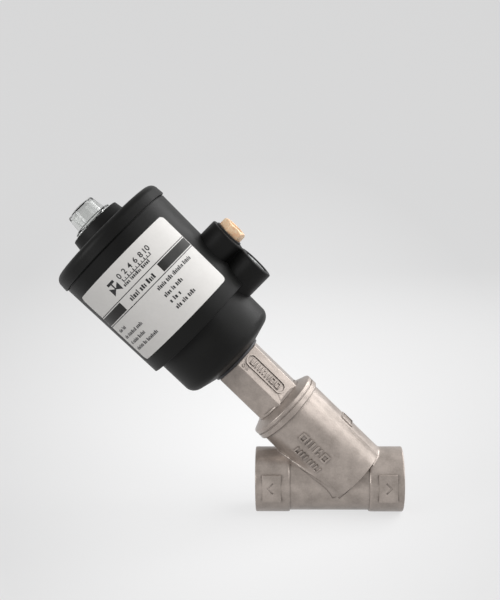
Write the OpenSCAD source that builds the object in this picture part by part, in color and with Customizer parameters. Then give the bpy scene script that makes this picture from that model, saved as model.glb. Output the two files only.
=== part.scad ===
// Angle-seat valve with a piston actuator, normally closed by springs.
// Millimetres. The origin is the centre of the inlet face, with +X out of the inlet and +Z up.
// Heights along the branch are counted from the point where its axis crosses the pipe axis.

/* [Valve body] */
// Face to face length along the pipe
body_length = 95.2; // [92:0.1:120]
// Distance from the inlet face to the crossing of the two axes
inlet_to_branch = 27.2; // [26:0.1:32]
// Lean of the branch from the pipe axis, in degrees
branch_angle = 45; // [43:1:50]
// Outer diameter of the round pipe ends
end_d = 42; // [40:0.1:48]
// Length of each round pipe end
end_length = 22; // [21:0.1:25]
// Outer diameter of the tube between the ends
tube_d = 39.8; // [38.6:0.1:40]
// Bore under the pipe thread, its minor diameter
pipe_thread_d = 30.3; // [29:0.1:33]
// Depth of the pipe thread
pipe_thread_depth = 17; // [14:0.1:18]
// Shoulder bore that stops the pipe
throat_d = 25.4; // [22:0.1:27]
// Bore of the tube between the ends
passage_d = 32.4; // [30:0.1:33]
// Width of the flat pad on each pipe end, along the pipe
pad_w = 12; // [8:0.1:14]
// Height of the flat pad on each pipe end
pad_h = 17.8; // [12:0.1:20]
// How far the pad stands proud of the end's crest
pad_proud = 0.15; // [0.05:0.01:0.6]

/* [Branch] */
// Outer diameter of the branch barrel
branch_d = 46.4; // [45:0.1:48]
// Height at which the barrel starts
branch_foot = 5.8; // [5:0.1:6.6]
// Height of the seam between body and bonnet
branch_reach = 69.1; // [66:0.1:80]
// Bore of the branch barrel
branch_bore_d = 37.2; // [34:0.1:37.6]
// Bore under the thread that takes the bonnet
bonnet_thread_d = 38; // [37.8:0.1:40]
// Diameter of the rim at the seam
rim_d = 49.6; // [49:0.1:54]
// Height of the rim
rim_h = 4; // [3:0.1:6]
// Width and length of the cast lug on the barrel
lug_size = 9.4; // [6:0.1:12]
// How far the lug stands proud of the barrel
lug_proud = 0.2; // [0.1:0.05:0.6]
// Height of the lug's middle
lug_height = 35; // [33:0.5:44]
// Turn of the lug about the barrel, from the barrel's upper side towards the front
lug_turn = 8; // [0:1:25]
// Bore through the seat
seat_bore_d = 24; // [20:0.1:25]
// Thickness of the floor under the barrel
seat_floor = 4.8; // [4:0.1:5.6]
// Thickness of the slanted wall that carries the seat
seat_wall = 4; // [3:0.1:5]
// Height of the raised seat lip
lip_h = 1.2; // [0.8:0.1:2]
// Width of the raised seat lip
lip_w = 1.2; // [0.8:0.1:1.6]

/* [Bonnet and neck] */
// Thickness of the bonnet flange at its edge
flange_h = 3; // [2:0.1:5]
// Rise of the flange's cone to the neck
flange_rise = 3.2; // [1:0.1:5]
// Depth of the bonnet's screwed spigot
spigot_depth = 12; // [9:0.1:14]
// Width across flats of the hexagonal neck
neck_af = 31.4; // [30:0.1:34]
// Distance from the seam to the top of the hexagon
neck_length = 43.1; // [40:0.1:60]
// Turn of the hexagon from the front, in degrees
neck_turn = 3.4; // [-30:0.1:30]
// Bore of the packing chamber
packing_d = 19; // [17:0.1:20]
// Diameter of the threaded stub that carries the actuator
stub_d = 26; // [24:0.1:27]
// Thickness of the round collar under the actuator
collar_h = 1.6; // [1:0.1:3]
// Diameter of the round collar
collar_d = 35.8; // [34:0.1:40]

/* [Stem and disc] */
// Diameter of the stem
stem_d = 10; // [8:0.1:11]
// Diameter of the stem's threaded ends
stem_thread_d = 8; // [6:0.1:9]
// Diameter of the valve disc
disc_d = 28.8; // [28:0.1:32]
// Height of the valve disc
disc_h = 9.6; // [8:0.1:14]
// Thickness of the seat seal
seal_h = 3.6; // [2.5:0.1:5]
// Width across flats of the disc nut
disc_nut_af = 13; // [12:0.1:16]

/* [Packing] */
// Number of chevron rings
ring_count = 5; // [3:1:6]
// Pitch of the chevron rings
ring_pitch = 2.6; // [2:0.1:2.8]
// Depth of the chevron's V
ring_vee = 1; // [0.6:0.1:1.3]
// Turns of the packing spring
packing_turns = 5; // [3:0.5:6]
// Length of the packing spring as fitted
packing_spring_h = 16; // [12:0.1:18]
// Wire of the packing spring
packing_wire_d = 1.8; // [1.2:0.1:2]
// Height of the gland nut
gland_h = 10; // [7:0.1:11]

/* [Actuator housing] */
// Bore in which the piston slides
bore_d = 70; // [66:0.1:80]
// Width of the ledge between that bore and the chamber under the piston
ledge_w = 4; // [3:0.1:6]
// Wall of the narrow lower part
base_wall = 4.7; // [4:0.1:7]
// Height of the narrow lower part, up to the lip
base_h = 31.4; // [30.6:0.1:33]
// Wall of the cylinder at the lip
lip_wall = 6.3; // [5:0.1:9]
// Widening of the cylinder from the lip to the lid, in diameter
cylinder_draft = 2.6; // [0:0.1:4]
// Height of the cylinder, from the lip to the lid
cylinder_h = 74.8; // [72:0.1:95]
// Thickness of the housing floor
floor_h = 5.2; // [4:0.1:7]
// Step from the bore to the thread that takes the lid
lid_thread_step = 2.2; // [1.8:0.1:3]
// Depth of the thread that takes the lid
lid_thread_depth = 14; // [13.5:0.1:18]

/* [Air ports] */
// Diameter of each air port boss
boss_d = 25.2; // [23:0.1:26]
// How far the bosses stand out from the foot of the cylinder
boss_proud = 13.1; // [12:0.1:20]
// Radius of the fillet where a boss meets the cylinder
boss_fillet = 3; // [1:0.1:4]
// Height of the lower port above the lip
lower_port_h = 3; // [2.6:0.1:4]
// Pitch of the two ports
port_pitch = 24.8; // [24.4:0.1:30]
// Diameter of the metal thread insert
insert_d = 17; // [15:0.1:19]
// Length of the thread insert
insert_h = 12; // [9:0.1:13]
// Depth of the insert's face below the boss's face
insert_sunk = 0.8; // [0.3:0.1:2]
// Bore under the air thread, its minor diameter
air_thread_d = 11.45; // [10:0.05:12.5]
// Air passage from the port into the cylinder
air_hole_d = 5; // [3:0.1:5.4]

/* [Silencer] */
// Width across flats of the silencer's hexagon
silencer_af = 15.4; // [15:0.1:19]
// Height of the hexagon
silencer_h = 6; // [4:0.1:9]
// Thickness of the sealing washer under it
washer_h = 1; // [0.6:0.1:1.6]
// Diameter of the sealing washer
washer_d = 19.6; // [18.4:0.1:22]
// Length of its threaded shank
shank_h = 9; // [6:0.1:10]

/* [Piston] */
// Height of the piston's rim
piston_h = 8; // [7.6:0.1:8.4]
// Running clearance of the piston, all round
piston_gap = 0.4; // [0.3:0.05:0.6]
// Diameter of the piston's hub
hub_d = 26; // [22:0.1:28]

/* [Closing springs] */
// Clear ring between the bore and the outer spring
outer_spring_gap = 6.8; // [6.4:0.1:8]
// Wire of the outer spring
outer_wire_d = 4.4; // [3:0.1:5]
// Turns of the outer spring
outer_turns = 6; // [4:0.5:8]
// Clear ring between the two springs
inner_spring_gap = 4.7; // [3:0.1:6]
// Wire of the inner spring
inner_wire_d = 3.2; // [2:0.1:3.6]
// Turns of the inner spring
inner_turns = 8; // [5:0.5:10]

/* [Lid and indicator] */
// How far the lid stands proud of the cylinder, all round
lid_proud = 1.2; // [0.5:0.1:3]
// Height of the lid
lid_h = 11; // [9:0.1:14]
// Radius of the lid's rounded edge
lid_edge = 5; // [2:0.1:6]
// Diameter of the round boss on the lid, at its foot
lid_boss_d = 38.2; // [34:0.1:44]
// Height of the round boss
lid_boss_h = 8; // [6:0.1:12]
// Diameter of the dome's flange
dome_flange_d = 28.8; // [27:0.1:32]
// Thickness of the dome's flange
dome_flange_h = 2.4; // [1.6:0.1:4]
// Diameter of the dome at its foot
dome_d = 22.8; // [22:0.1:24]
// Diameter of the dome at its shoulder
dome_top_d = 20.2; // [19.6:0.1:22]
// Height of the dome above its flange
dome_h = 12; // [11.4:0.1:16]
// Wall of the dome
dome_wall = 1.3; // [0.8:0.1:1.6]
// Diameter of the indicator rod
rod_d = 6; // [4:0.1:7]
// Diameter of the indicator cap
cap_d = 13.4; // [11:0.1:13.8]
// Height of the indicator cap
cap_h = 13; // [12:0.1:14]

/* [Label] */
// Height of the label along the cylinder
label_h = 55.6; // [30:0.1:58]
// Height of the label's lower edge above the lip
label_foot = 10; // [6:0.1:12]
// Arc covered by the label, in degrees
label_arc = 118; // [60:1:130]
// Thickness of the label
label_t = 0.4; // [0.2:0.1:0.8]

/* [Hidden] */

$fn = 96;
far = 200;
eps = 0.01;
// Radial clearance of a sliding or turning fit, and of two fixed pieces that only meet
fit = 0.05;
seat_gap = 0.1;
// Radius of the small edges on castings and mouldings, and of the bosses' outer edge
edge = 0.8;
boss_edge = 1.2;

// Stations along the branch axis
seat_face = branch_foot + seat_floor;
lip_top = seat_face + lip_h;
seam = branch_reach;
spigot_foot = seam - spigot_depth;
neck_top = seam + neck_length;
housing_foot = neck_top + collar_h;
floor_top = housing_foot + floor_h;
lip = housing_foot + base_h;
lid_seam = lip + cylinder_h;
lid_top = lid_seam + lid_h;
lid_boss_top = lid_top + lid_boss_h;
dome_foot = lid_boss_top + dome_flange_h;

// Seat, disc and stem
retainer_h = 2.5;
retainer_d = seat_bore_d - 2.4;
disc_nut_h = 6.5;
disc_nut_top = lip_top - retainer_h;
stem_foot = disc_nut_top - disc_nut_h - 1;
disc_rim = 0.6;
disc_lift = 0.6;
seal_in_d = retainer_d - 3.2;
disc_top = lip_top + disc_h;

// Packing chamber, filled from its floor upwards
chamber_floor = spigot_foot + 3.5;
packing_washer_h = 2;
thrust_ring_h = 2.5;
spring_foot = chamber_floor + packing_washer_h;
thrust_foot = spring_foot + packing_spring_h;
rings_foot = thrust_foot + thrust_ring_h;
gland_foot = rings_foot + ring_count * ring_pitch;
stem_hole_d = stem_d + 2 * seat_gap;

// Stub through the housing floor and the nut that holds the actuator
thrust_washer_h = 1.3;
thrust_washer_d = stub_d + 14;
nut_h = 8.2;
stub_top = floor_top + thrust_washer_h + nut_h;
nut_roof = 2;
nut_af = stub_d + 10;
stem_seal_h = 5.2;
guide_bush_h = 7.5;
cord_d = 1.8;

// Diameters of the actuator, from the bore outwards
chamber_d = bore_d - 2 * ledge_w;
base_d = chamber_d + 2 * base_wall;
lip_d = bore_d + 2 * lip_wall;
cylinder_d = lip_d + cylinder_draft;
lid_thread_d = bore_d + 2 * lid_thread_step;
lid_d = cylinder_d + 2 * lid_proud;
boss_reach = lip_d / 2 + boss_proud;
chamber_bevel = 3.4;
foot_round = 7;
foot_slope = 3.2;

// Air ports and the piston between them
lower_port = lip + lower_port_h;
upper_port = lower_port + port_pitch;
bore_foot = lip + 1.5;
insert_face = boss_reach - insert_sunk;
insert_foot = insert_face - insert_h;
piston_foot = lower_port + air_hole_d / 2 + 0.8;
piston_top = piston_foot + piston_h;
spring_sunk = 2;
spring_base = piston_top - spring_sunk;
piston_nut_h = 6.5;
piston_nut_af = stem_thread_d + 5;
stem_top = piston_top + piston_nut_h + 1;
rod_spigot_h = 7.5;
outer_spring_d = bore_d - 2 * outer_spring_gap - outer_wire_d;
inner_spring_d = outer_spring_d - outer_wire_d - 2 * inner_spring_gap - inner_wire_d;

// Grooves in the piston's rim, counted from its foot
seal_groove_foot = 1.2;
seal_groove_h = 3.6;
seal_groove_depth = 3.8 - piston_gap;
guide_groove_foot = 5.5;
guide_groove_h = 1.6;
guide_groove_depth = 1.8 - piston_gap;

// Lid, dome and indicator
lid_skirt_h = lid_thread_depth - 2;
lid_roof = lid_seam + 3.5;
lid_cord_d = 2.4;
lid_skirt_wall = lid_cord_d + 0.2;
lid_groove_top = lid_seam - 3.6;
lid_groove_h = lid_cord_d + 0.1;
guide_h = 11.5;
guide_d = 25;
dome_spigot_d = dome_d - 1;
dome_spigot_h = 6.2;
pocket_h = dome_spigot_h + 0.3;
cap_foot = lid_boss_top + 1.6 - cap_h;
cap_well_d = cap_d + 0.8;
cap_well_foot = cap_foot - 1;
rod_top = cap_foot + 5;
dome_crown_r = 28;
dome_crown_arc = 18;

// Points of an arc of radius r about centre c, from angle a to angle b
function arc(c, r, a, b, n = 6) =
    [for (i = [0 : n]) let (t = a + (b - a) * i / n) c + r * [cos(t), sin(t)]];

// Radius of the tapered cylinder at a height along the branch
function cylinder_r(s) = lip_d / 2 + (cylinder_d - lip_d) / 2 * (s - lip) / cylinder_h;

// Point of a helix with closed end turns, at fraction t of its length
function helix_z(t, turns, wire, length) =
    let (dead = 0.9 / turns, flat = wire * 0.95, free = length - wire - 2 * flat)
    wire / 2 + (t < dead ? flat * t / dead
        : t > 1 - dead ? flat + free + flat * (t - 1 + dead) / dead
        : flat + free * (t - dead) / (1 - 2 * dead));

// Places children at a height along the branch, with local +Z up the branch axis
module up_branch(s = 0) {
    translate([-inlet_to_branch, 0, 0])
        rotate([0, branch_angle - 90, 0])
            translate([0, 0, s]) children();
}

// Places children on an air port's axis, with local +Z outwards
module out_port(s) {
    up_branch(s) rotate([0, 90, 0]) children();
}

// Turns a closed profile of [radius, height] points about the branch axis
module turned(profile) {
    up_branch() rotate_extrude() polygon(profile);
}

// Plain ring about the branch axis, between two heights
module ring(inner_d, outer_d, foot, top) {
    turned([[inner_d / 2, foot], [outer_d / 2, foot], [outer_d / 2, top], [inner_d / 2, top]]);
}

// Rubber ring of round section about the branch axis
module o_ring(outer_d, cord, s) {
    up_branch(s) rotate_extrude() translate([outer_d / 2 - cord / 2, 0]) circle(d = cord, $fn = 32);
}

// Hexagon with chamfered corners at its top, standing on local Z = 0
module chamfered_hex(af, h, chamfer = 1) {
    corner = af / cos(30) / 2;
    intersection() {
        cylinder(r = corner, h = h, $fn = 6);
        rotate_extrude() polygon([[0, 0], [corner, 0], [corner, h - chamfer], [corner - 2 * chamfer, h], [0, h]]);
    }
}

// Hexagonal nut about the branch axis
module hex_nut(af, hole_d, foot, h) {
    up_branch(foot) difference() {
        chamfered_hex(af, h);
        translate([0, 0, -1]) cylinder(d = hole_d, h = h + 2);
    }
}

// Compression spring of round wire, standing on local Z = 0
module coil_spring(mean_d, wire, length, turns, per_turn = 20, sides = 8) {
    steps = ceil(turns * per_turn);
    rings = [for (i = [0 : steps]) let (t = i / steps, a = 360 * turns * t)
        [for (j = [0 : sides - 1]) let (b = 360 * j / sides, r = mean_d / 2 + wire / 2 * cos(b))
            [r * cos(a), r * sin(a), helix_z(t, turns, wire, length) + wire / 2 * sin(b)]]];
    points = [for (one = rings) for (p = one) p];
    walls = [for (i = [0 : steps - 1]) for (j = [0 : sides - 1]) let (k = (j + 1) % sides)
        [i * sides + j, (i + 1) * sides + j, (i + 1) * sides + k, i * sides + k]];
    ends = [[for (j = [0 : sides - 1]) j], [for (j = [sides - 1 : -1 : 0]) steps * sides + j]];
    polyhedron(points = points, faces = concat(walls, ends), convexity = 10);
}

// Outside of the pipe run, with its two round ends
module run_outside() {
    r = end_d / 2;
    t = tube_d / 2;
    step = r - t;
    half = concat([[0, 0]], arc([r - edge, edge], edge, -90, 0), [[r, end_length - 0.6], [t, end_length + step]]);
    other = [for (i = [len(half) - 1 : -1 : 0]) [half[i][0], body_length - half[i][1]]];
    rotate([0, -90, 0]) rotate_extrude() polygon(concat(half, other));
}

// Threaded end, shoulder and widening passage, cut from the inlet face inwards
module end_hollow() {
    t = pipe_thread_d / 2;
    throat = throat_d / 2;
    neck = pipe_thread_depth + 3;
    rotate([0, -90, 0]) rotate_extrude() polygon([
        [0, -1], [t, -1], [t, pipe_thread_depth], [throat, pipe_thread_depth + 1], [throat, neck], [passage_d / 2, neck + 4], [passage_d / 2, body_length / 2 + 1], [0, body_length / 2 + 1]
    ]);
}

// Whole passage along the pipe, from face to face
module run_hollow() {
    end_hollow();
    translate([-body_length, 0, 0]) mirror([1, 0, 0]) end_hollow();
}

// Everything above or below a height along the branch
module above(s) {
    up_branch(s) translate([-far / 2, -far / 2, 0]) cube([far, far, far]);
}

module below(s) {
    up_branch(s) translate([-far / 2, -far / 2, -far]) cube([far, far, far]);
}

// Flat pads on the front and back of both pipe ends
module pads() {
    depth = end_d + 2 * pad_proud;
    centre = end_length / 2 - 0.5;
    for (x = [-centre, centre - body_length])
        translate([x - pad_w / 2, -depth / 2, -pad_h / 2]) cube([pad_w, depth, pad_h]);
}

// Shallow square lug on the upper side of the barrel
module lug() {
    reach = branch_d / 2 + lug_proud;
    up_branch(lug_height) rotate([0, 0, -lug_turn])
        translate([reach - lug_size / 2, -lug_size / 2, -lug_size / 2]) cube([lug_size / 2, lug_size, lug_size]);
}

// Cast body: two threaded ends, a slanted wall with the seat, and the branch barrel
module valve_body() {
    b = branch_d / 2;
    r = rim_d / 2;
    outside = concat([[0, branch_foot]], arc([b - edge, branch_foot + edge], edge, -90, 0),
        [[b, seam - rim_h - 1], [r - 0.4, seam - rim_h], [r, seam - rim_h + 0.6], [r, seam - 0.4],
         [r - 0.4, seam], [0, seam]]);
    color("#a79c90") difference() {
        union() {
            run_outside();
            pads();
            turned(outside);
            lug();
        }
        intersection() {
            run_hollow();
            below(seat_face - seat_wall);
        }
        intersection() {
            run_hollow();
            above(seat_face);
        }
        difference() {
            up_branch(seat_face) cylinder(d = branch_bore_d, h = far);
            ring(seat_bore_d, seat_bore_d + 2 * lip_w, seat_face - 1, lip_top);
        }
        up_branch(seat_face - seat_wall - 4) cylinder(d = seat_bore_d, h = seat_wall + 6);
        up_branch(spigot_foot - 1) cylinder(d = bonnet_thread_d, h = far);
        up_branch(seam - 1.2) cylinder(d = bonnet_thread_d + 5, h = far);
    }
}

// Hexagonal bonnet: screwed spigot, coned flange, neck and stub
module bonnet() {
    f = rim_d / 2;
    n = neck_af / 2;
    stub = stub_d / 2;
    flange_top = seam + flange_h;
    foot = [[bonnet_thread_d / 2 - fit, spigot_foot], [bonnet_thread_d / 2 - fit, seam], [f - 0.4, seam],
        [f, seam + 0.4], [f, flange_top - 0.8], [f - 0.8, flange_top], [n + 1.2, flange_top + flange_rise]];
    color("#b0a498") difference() {
        union() {
            turned(concat([[0, spigot_foot]], foot, [[0, flange_top + flange_rise]]));
            up_branch(seam + 1) rotate([0, 0, neck_turn - 90])
                cylinder(r = n / cos(30), h = neck_length - 1, $fn = 6);
            up_branch(seam) cylinder(d = stub_d, h = stub_top - seam);
        }
        up_branch(spigot_foot - 1) cylinder(d = stem_hole_d, h = far);
        up_branch(chamber_floor) cylinder(d = packing_d, h = far);
        ring(stub_d - 2 * cord_d, stub_d + 2, housing_foot + 1.4, housing_foot + 1.5 + cord_d);
    }
}

// Flat gasket in the pocket at the seam
module bonnet_gasket() {
    color("#4a4d50") ring(bonnet_thread_d + 2 * fit, bonnet_thread_d + 5 - 2 * fit, seam - 1.2, seam);
}

module packing_washer() {
    color("#b9bcc0") ring(stem_hole_d, packing_d - 2 * fit, chamber_floor, spring_foot);
}

// Spring that keeps the chevron rings loaded
module packing_spring() {
    color("#c4c8cc") up_branch(spring_foot)
        coil_spring((stem_d + packing_d) / 2, packing_wire_d, packing_spring_h, packing_turns, 16, 6);
}

// Profile of one chevron, between the stem and the chamber wall
function chevron(foot, h, top_vee, foot_vee) =
    let (i = stem_d / 2 + fit, o = packing_d / 2 - fit, m = (i + o) / 2)
    [[i, foot], [m, foot + foot_vee], [o, foot], [o, foot + h], [m, foot + h + top_vee], [i, foot + h]];

module thrust_ring() {
    color("#b9bcc0") turned(chevron(thrust_foot, thrust_ring_h, ring_vee, 0));
}

// Stack of separate chevron rings
module packing_rings() {
    color("#efe9dc") for (i = [0 : ring_count - 1])
        turned(chevron(rings_foot + i * ring_pitch, ring_pitch - eps, ring_vee, ring_vee));
}

// Threaded gland with a spanner slot
module gland_nut() {
    color("#b9bcc0") difference() {
        turned(chevron(gland_foot, gland_h, 0, ring_vee));
        up_branch(gland_foot + gland_h - 2.5) translate([-packing_d, -1.5, 0]) cube([2 * packing_d, 3, far]);
    }
}

module guide_bush() {
    top = stub_top - stem_seal_h;
    color("#b08d4f") ring(stem_d + 2 * fit, packing_d - 2 * fit, top - guide_bush_h, top);
}

// Lip seal that keeps the air in the actuator
module stem_seal() {
    i = stem_d / 2 + fit;
    o = packing_d / 2 - fit;
    foot = stub_top - stem_seal_h;
    top = stub_top - 0.2;
    color("#26282a") turned([[i + 0.4, foot], [o, foot], [o, top], [o - 1.2, top], [o - 1.6, top - 2],
        [i + 1.4, top - 2], [i + 1, top], [i, top - 0.4], [i, top - 1.4]]);
}

module neck_collar() {
    color("#bfc1c3") turned([[stub_d / 2 + seat_gap, neck_top], [collar_d / 2 - 0.3, neck_top],
        [collar_d / 2, neck_top + 0.3], [collar_d / 2, housing_foot - 0.3], [collar_d / 2 - 0.3, housing_foot],
        [stub_d / 2 + seat_gap, housing_foot]]);
}

module housing_seal() {
    color("#26282a") o_ring(stub_d, cord_d, housing_foot + 1.45 + cord_d / 2);
}

module thrust_washer() {
    color("#bfc1c3") ring(stub_d + 2 * seat_gap, thrust_washer_d, floor_top, floor_top + thrust_washer_h);
}

// Capped nut that holds the actuator on the neck and keeps the stem seal in
module housing_nut() {
    foot = floor_top + thrust_washer_h;
    color("#aeb1b4") up_branch(foot) difference() {
        chamfered_hex(nut_af, stub_top - foot + nut_roof, 1.2);
        translate([0, 0, -1]) cylinder(d = stub_d + 2 * fit, h = stub_top - foot + 1);
        cylinder(d = stem_d + 1.2, h = far);
    }
}

// Outline of the housing's outside, from its foot to the lid seam
function housing_outline() =
    let (b = base_d / 2, o = lip_d / 2, f = housing_foot, r = foot_round)
    concat([[0, f], [collar_d / 2 + 0.6, f]], arc([b - 0.2 - r, f + foot_slope + r], r, -68, -2),
        [[b, lip], [o - edge, lip]], arc([o - edge, lip + edge], edge, -90, 0, 4),
        [[cylinder_d / 2, lid_seam - 1], [cylinder_d / 2, lid_seam], [0, lid_seam]]);

// Round boss of one air port, with a filleted root and a rounded outer edge
module port_boss() {
    r = boss_d / 2;
    foot = chamber_d / 2 + 1;
    skin = sqrt(pow(lip_d / 2, 2) - r * r);
    root = arc([r + boss_fillet, skin + 2], boss_fillet, 250, 180, 5);
    face = arc([r - boss_edge, boss_reach - boss_edge], boss_edge, 0, 90);
    rotate_extrude() polygon(concat([[0, foot], [root[0][0], foot]], root, face, [[0, boss_reach]]));
}

// Moulded housing: stepped cylinder, floor and the two fused air port bosses
module actuator_housing() {
    color("#26272a") difference() {
        union() {
            turned(housing_outline());
            out_port(lower_port) port_boss();
            out_port(upper_port) port_boss();
        }
        up_branch(housing_foot - 1) cylinder(d = stub_d + 2 * fit, h = far);
        up_branch(floor_top) cylinder(d1 = chamber_d - 2 * chamber_bevel, d2 = chamber_d, h = chamber_bevel);
        up_branch(floor_top + chamber_bevel - eps) cylinder(d = chamber_d, h = far);
        up_branch(bore_foot) cylinder(d = bore_d, h = far);
        up_branch(lid_seam - lid_thread_depth) cylinder(d = lid_thread_d, h = far);
        for (s = [lower_port, upper_port]) out_port(s) {
            translate([0, 0, insert_foot]) cylinder(d = insert_d, h = far);
            translate([0, 0, chamber_d / 2 - base_wall]) cylinder(d = air_hole_d, h = far);
        }
    }
}

// Threaded metal insert of an air port
module port_insert(s) {
    r = insert_d / 2 - fit;
    t = air_thread_d / 2;
    color("#9aa0a4") out_port(s) rotate_extrude() polygon([[t, insert_foot], [r, insert_foot],
        [r, insert_face - 0.5], [r - 0.5, insert_face], [t + 1, insert_face], [t, insert_face - 1]]);
}

module lower_port_insert() {
    port_insert(lower_port);
}

module upper_port_insert() {
    port_insert(upper_port);
}

module silencer_washer() {
    color("#1c1c1e") out_port(upper_port) translate([0, 0, boss_reach]) difference() {
        cylinder(d = washer_d, h = washer_h);
        translate([0, 0, -1]) cylinder(d = air_thread_d, h = washer_h + 2);
    }
}

// Hexagonal silencer with a threaded shank and a pocket for its element
module silencer_body() {
    foot = boss_reach + washer_h;
    color("#c98f5e") out_port(upper_port) difference() {
        union() {
            translate([0, 0, foot]) rotate([0, 0, 10]) chamfered_hex(silencer_af, silencer_h, 1.1);
            translate([0, 0, foot - shank_h]) cylinder(d = air_thread_d - 2 * fit, h = shank_h + 1);
        }
        translate([0, 0, foot - shank_h - 1]) cylinder(d = air_thread_d - 4, h = far);
        translate([0, 0, foot + silencer_h - 3]) cylinder(d = air_thread_d - 1, h = far);
    }
}

// Sintered bronze disc, slightly crowned
module silencer_element() {
    r = (air_thread_d - 1) / 2 - fit;
    foot = boss_reach + washer_h + silencer_h - 3;
    color("#a9744a") out_port(upper_port) rotate_extrude()
        polygon([[0, foot], [r, foot], [r, foot + 2.2], [r * 0.7, foot + 2.6], [r * 0.35, foot + 2.8], [0, foot + 2.85]]);
}

// Screwed lid with a rounded edge, a round boss and the rod's guide
module lid() {
    r = lid_d / 2;
    boss = lid_boss_d / 2;
    thread = lid_thread_d / 2 - fit;
    guide = guide_d / 2;
    skirt = thread - lid_skirt_wall;
    rod = rod_d / 2 + fit;
    well = cap_well_d / 2;
    pocket = dome_spigot_d / 2 + fit;
    groove = lid_groove_top;
    outside = concat([[thread, lid_seam - lid_skirt_h], [thread, groove - lid_groove_h],
        [thread - lid_cord_d, groove - lid_groove_h], [thread - lid_cord_d, groove], [thread, groove],
        [thread, lid_seam], [r - 0.5, lid_seam], [r, lid_seam + 0.5]],
        arc([r - 0.3 - lid_edge, lid_top - lid_edge], lid_edge, 0, 90),
        [[boss + 1, lid_top], [boss, lid_top + 0.8], [boss - 0.8, lid_boss_top - edge],
         [boss - 0.8 - edge, lid_boss_top]]);
    inside = [[pocket, lid_boss_top], [pocket, lid_boss_top - pocket_h],
        [well, lid_boss_top - pocket_h], [well, cap_well_foot], [rod, cap_well_foot],
        [rod, lid_roof - guide_h], [guide - 3, lid_roof - guide_h], [guide, lid_roof - 3], [guide, lid_roof],
        [skirt, lid_roof], [skirt, lid_seam - lid_skirt_h]];
    color("#2a2b2d") difference() {
        turned(concat(outside, inside));
        turned([[pocket - 0.4, lid_boss_top - 1.2], [pocket + 2, lid_boss_top - 1.2], [pocket + 2, lid_boss_top + 1],
            [pocket - 0.4, lid_boss_top + 1]]);
    }
}

module lid_seal() {
    color("#1c1c1e") o_ring(lid_thread_d - 2 * fit, lid_cord_d, lid_groove_top - lid_groove_h / 2);
}

// Clear dome with a knurled flange and a screwed spigot
module indicator_dome() {
    foot = dome_d / 2;
    shoulder = dome_top_d / 2;
    top = dome_foot + dome_h;
    bore = shoulder - dome_wall;
    spigot_foot = lid_boss_top - dome_spigot_h;
    color([0.85, 0.88, 0.9, 0.4]) difference() {
        turned(concat([[0, spigot_foot], [dome_spigot_d / 2, spigot_foot], [dome_spigot_d / 2, lid_boss_top],
            [dome_flange_d / 2 - 0.3, lid_boss_top], [dome_flange_d / 2, lid_boss_top + 0.3],
            [dome_flange_d / 2, dome_foot - 0.5], [dome_flange_d / 2 - 0.5, dome_foot], [foot, dome_foot + 0.2]],
            arc([shoulder - 1.2, top - 3.2], 1.2, 0, 50, 4),
            arc([0, top - dome_crown_r], dome_crown_r, 90 - dome_crown_arc, 90, 5)));
        turned([[0, spigot_foot - 1], [bore, spigot_foot - 1], [bore, top - 3], [bore - 1, top - 2], [0, top - 1.6]]);
    }
}

module dome_seal() {
    i = dome_spigot_d / 2 + fit;
    color("#1c1c1e") ring(2 * i, 2 * i + 3.8, lid_boss_top - 1.1, lid_boss_top);
}

// Label wrapped round the front of the tapered cylinder
module label() {
    foot = lip + label_foot;
    top = foot + label_h;
    lower = cylinder_r(foot) + fit;
    upper = cylinder_r(top) + fit;
    color("#dcd9d3") up_branch() rotate([0, 0, -90 - label_arc / 2]) rotate_extrude(angle = label_arc)
        polygon([[lower, foot], [lower + label_t, foot], [upper + label_t, top], [upper, top]]);
}

module outer_spring() {
    color("#8f9498") up_branch(spring_base)
        coil_spring(outer_spring_d, outer_wire_d, lid_roof - spring_base, outer_turns);
}

module inner_spring() {
    color("#8f9498") up_branch(spring_base)
        coil_spring(inner_spring_d, inner_wire_d, lid_roof - spring_base, inner_turns);
}

// Stem with a threaded end for the disc and one for the piston
module stem() {
    t = stem_thread_d / 2;
    r = stem_d / 2;
    color("#c9ccce") difference() {
        turned([[0, stem_foot], [t - 0.8, stem_foot], [t, stem_foot + 0.8], [t, disc_top - 1.5], [r, disc_top - 1.5],
            [r, piston_foot], [t, piston_foot], [t, stem_top - 0.8], [t - 0.8, stem_top], [0, stem_top]]);
        up_branch(stem_top - rod_spigot_h - 0.5) cylinder(d = rod_d - 2, h = far);
    }
}

// Disc that carries the seat seal in its lower face
module valve_disc() {
    r = disc_d / 2;
    s = seal_in_d / 2;
    rim = r - disc_rim;
    t = stem_thread_d / 2 + fit;
    neck = stem_d / 2 + 3;
    color("#bdb3a8") turned([[t, lip_top], [s - fit, lip_top], [s - fit, lip_top + seal_h], [rim, lip_top + seal_h],
        [rim, lip_top + disc_lift], [r, lip_top + disc_lift], [r, lip_top + disc_h / 2], [neck, disc_top],
        [stem_d / 2 + fit, disc_top], [stem_d / 2 + fit, disc_top - 1.5], [t, disc_top - 1.5]]);
}

module seat_seal() {
    color("#f2f0ea") ring(seal_in_d + 2 * fit, disc_d - 2 * disc_rim - 2 * fit, lip_top, lip_top + seal_h - eps);
}

module disc_retainer() {
    color("#b9bcc0") ring(stem_thread_d + 2 * fit, retainer_d, disc_nut_top, lip_top);
}

module disc_nut() {
    color("#b9bcc0") hex_nut(disc_nut_af, stem_thread_d + 2 * fit, disc_nut_top - disc_nut_h, disc_nut_h);
}

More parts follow.
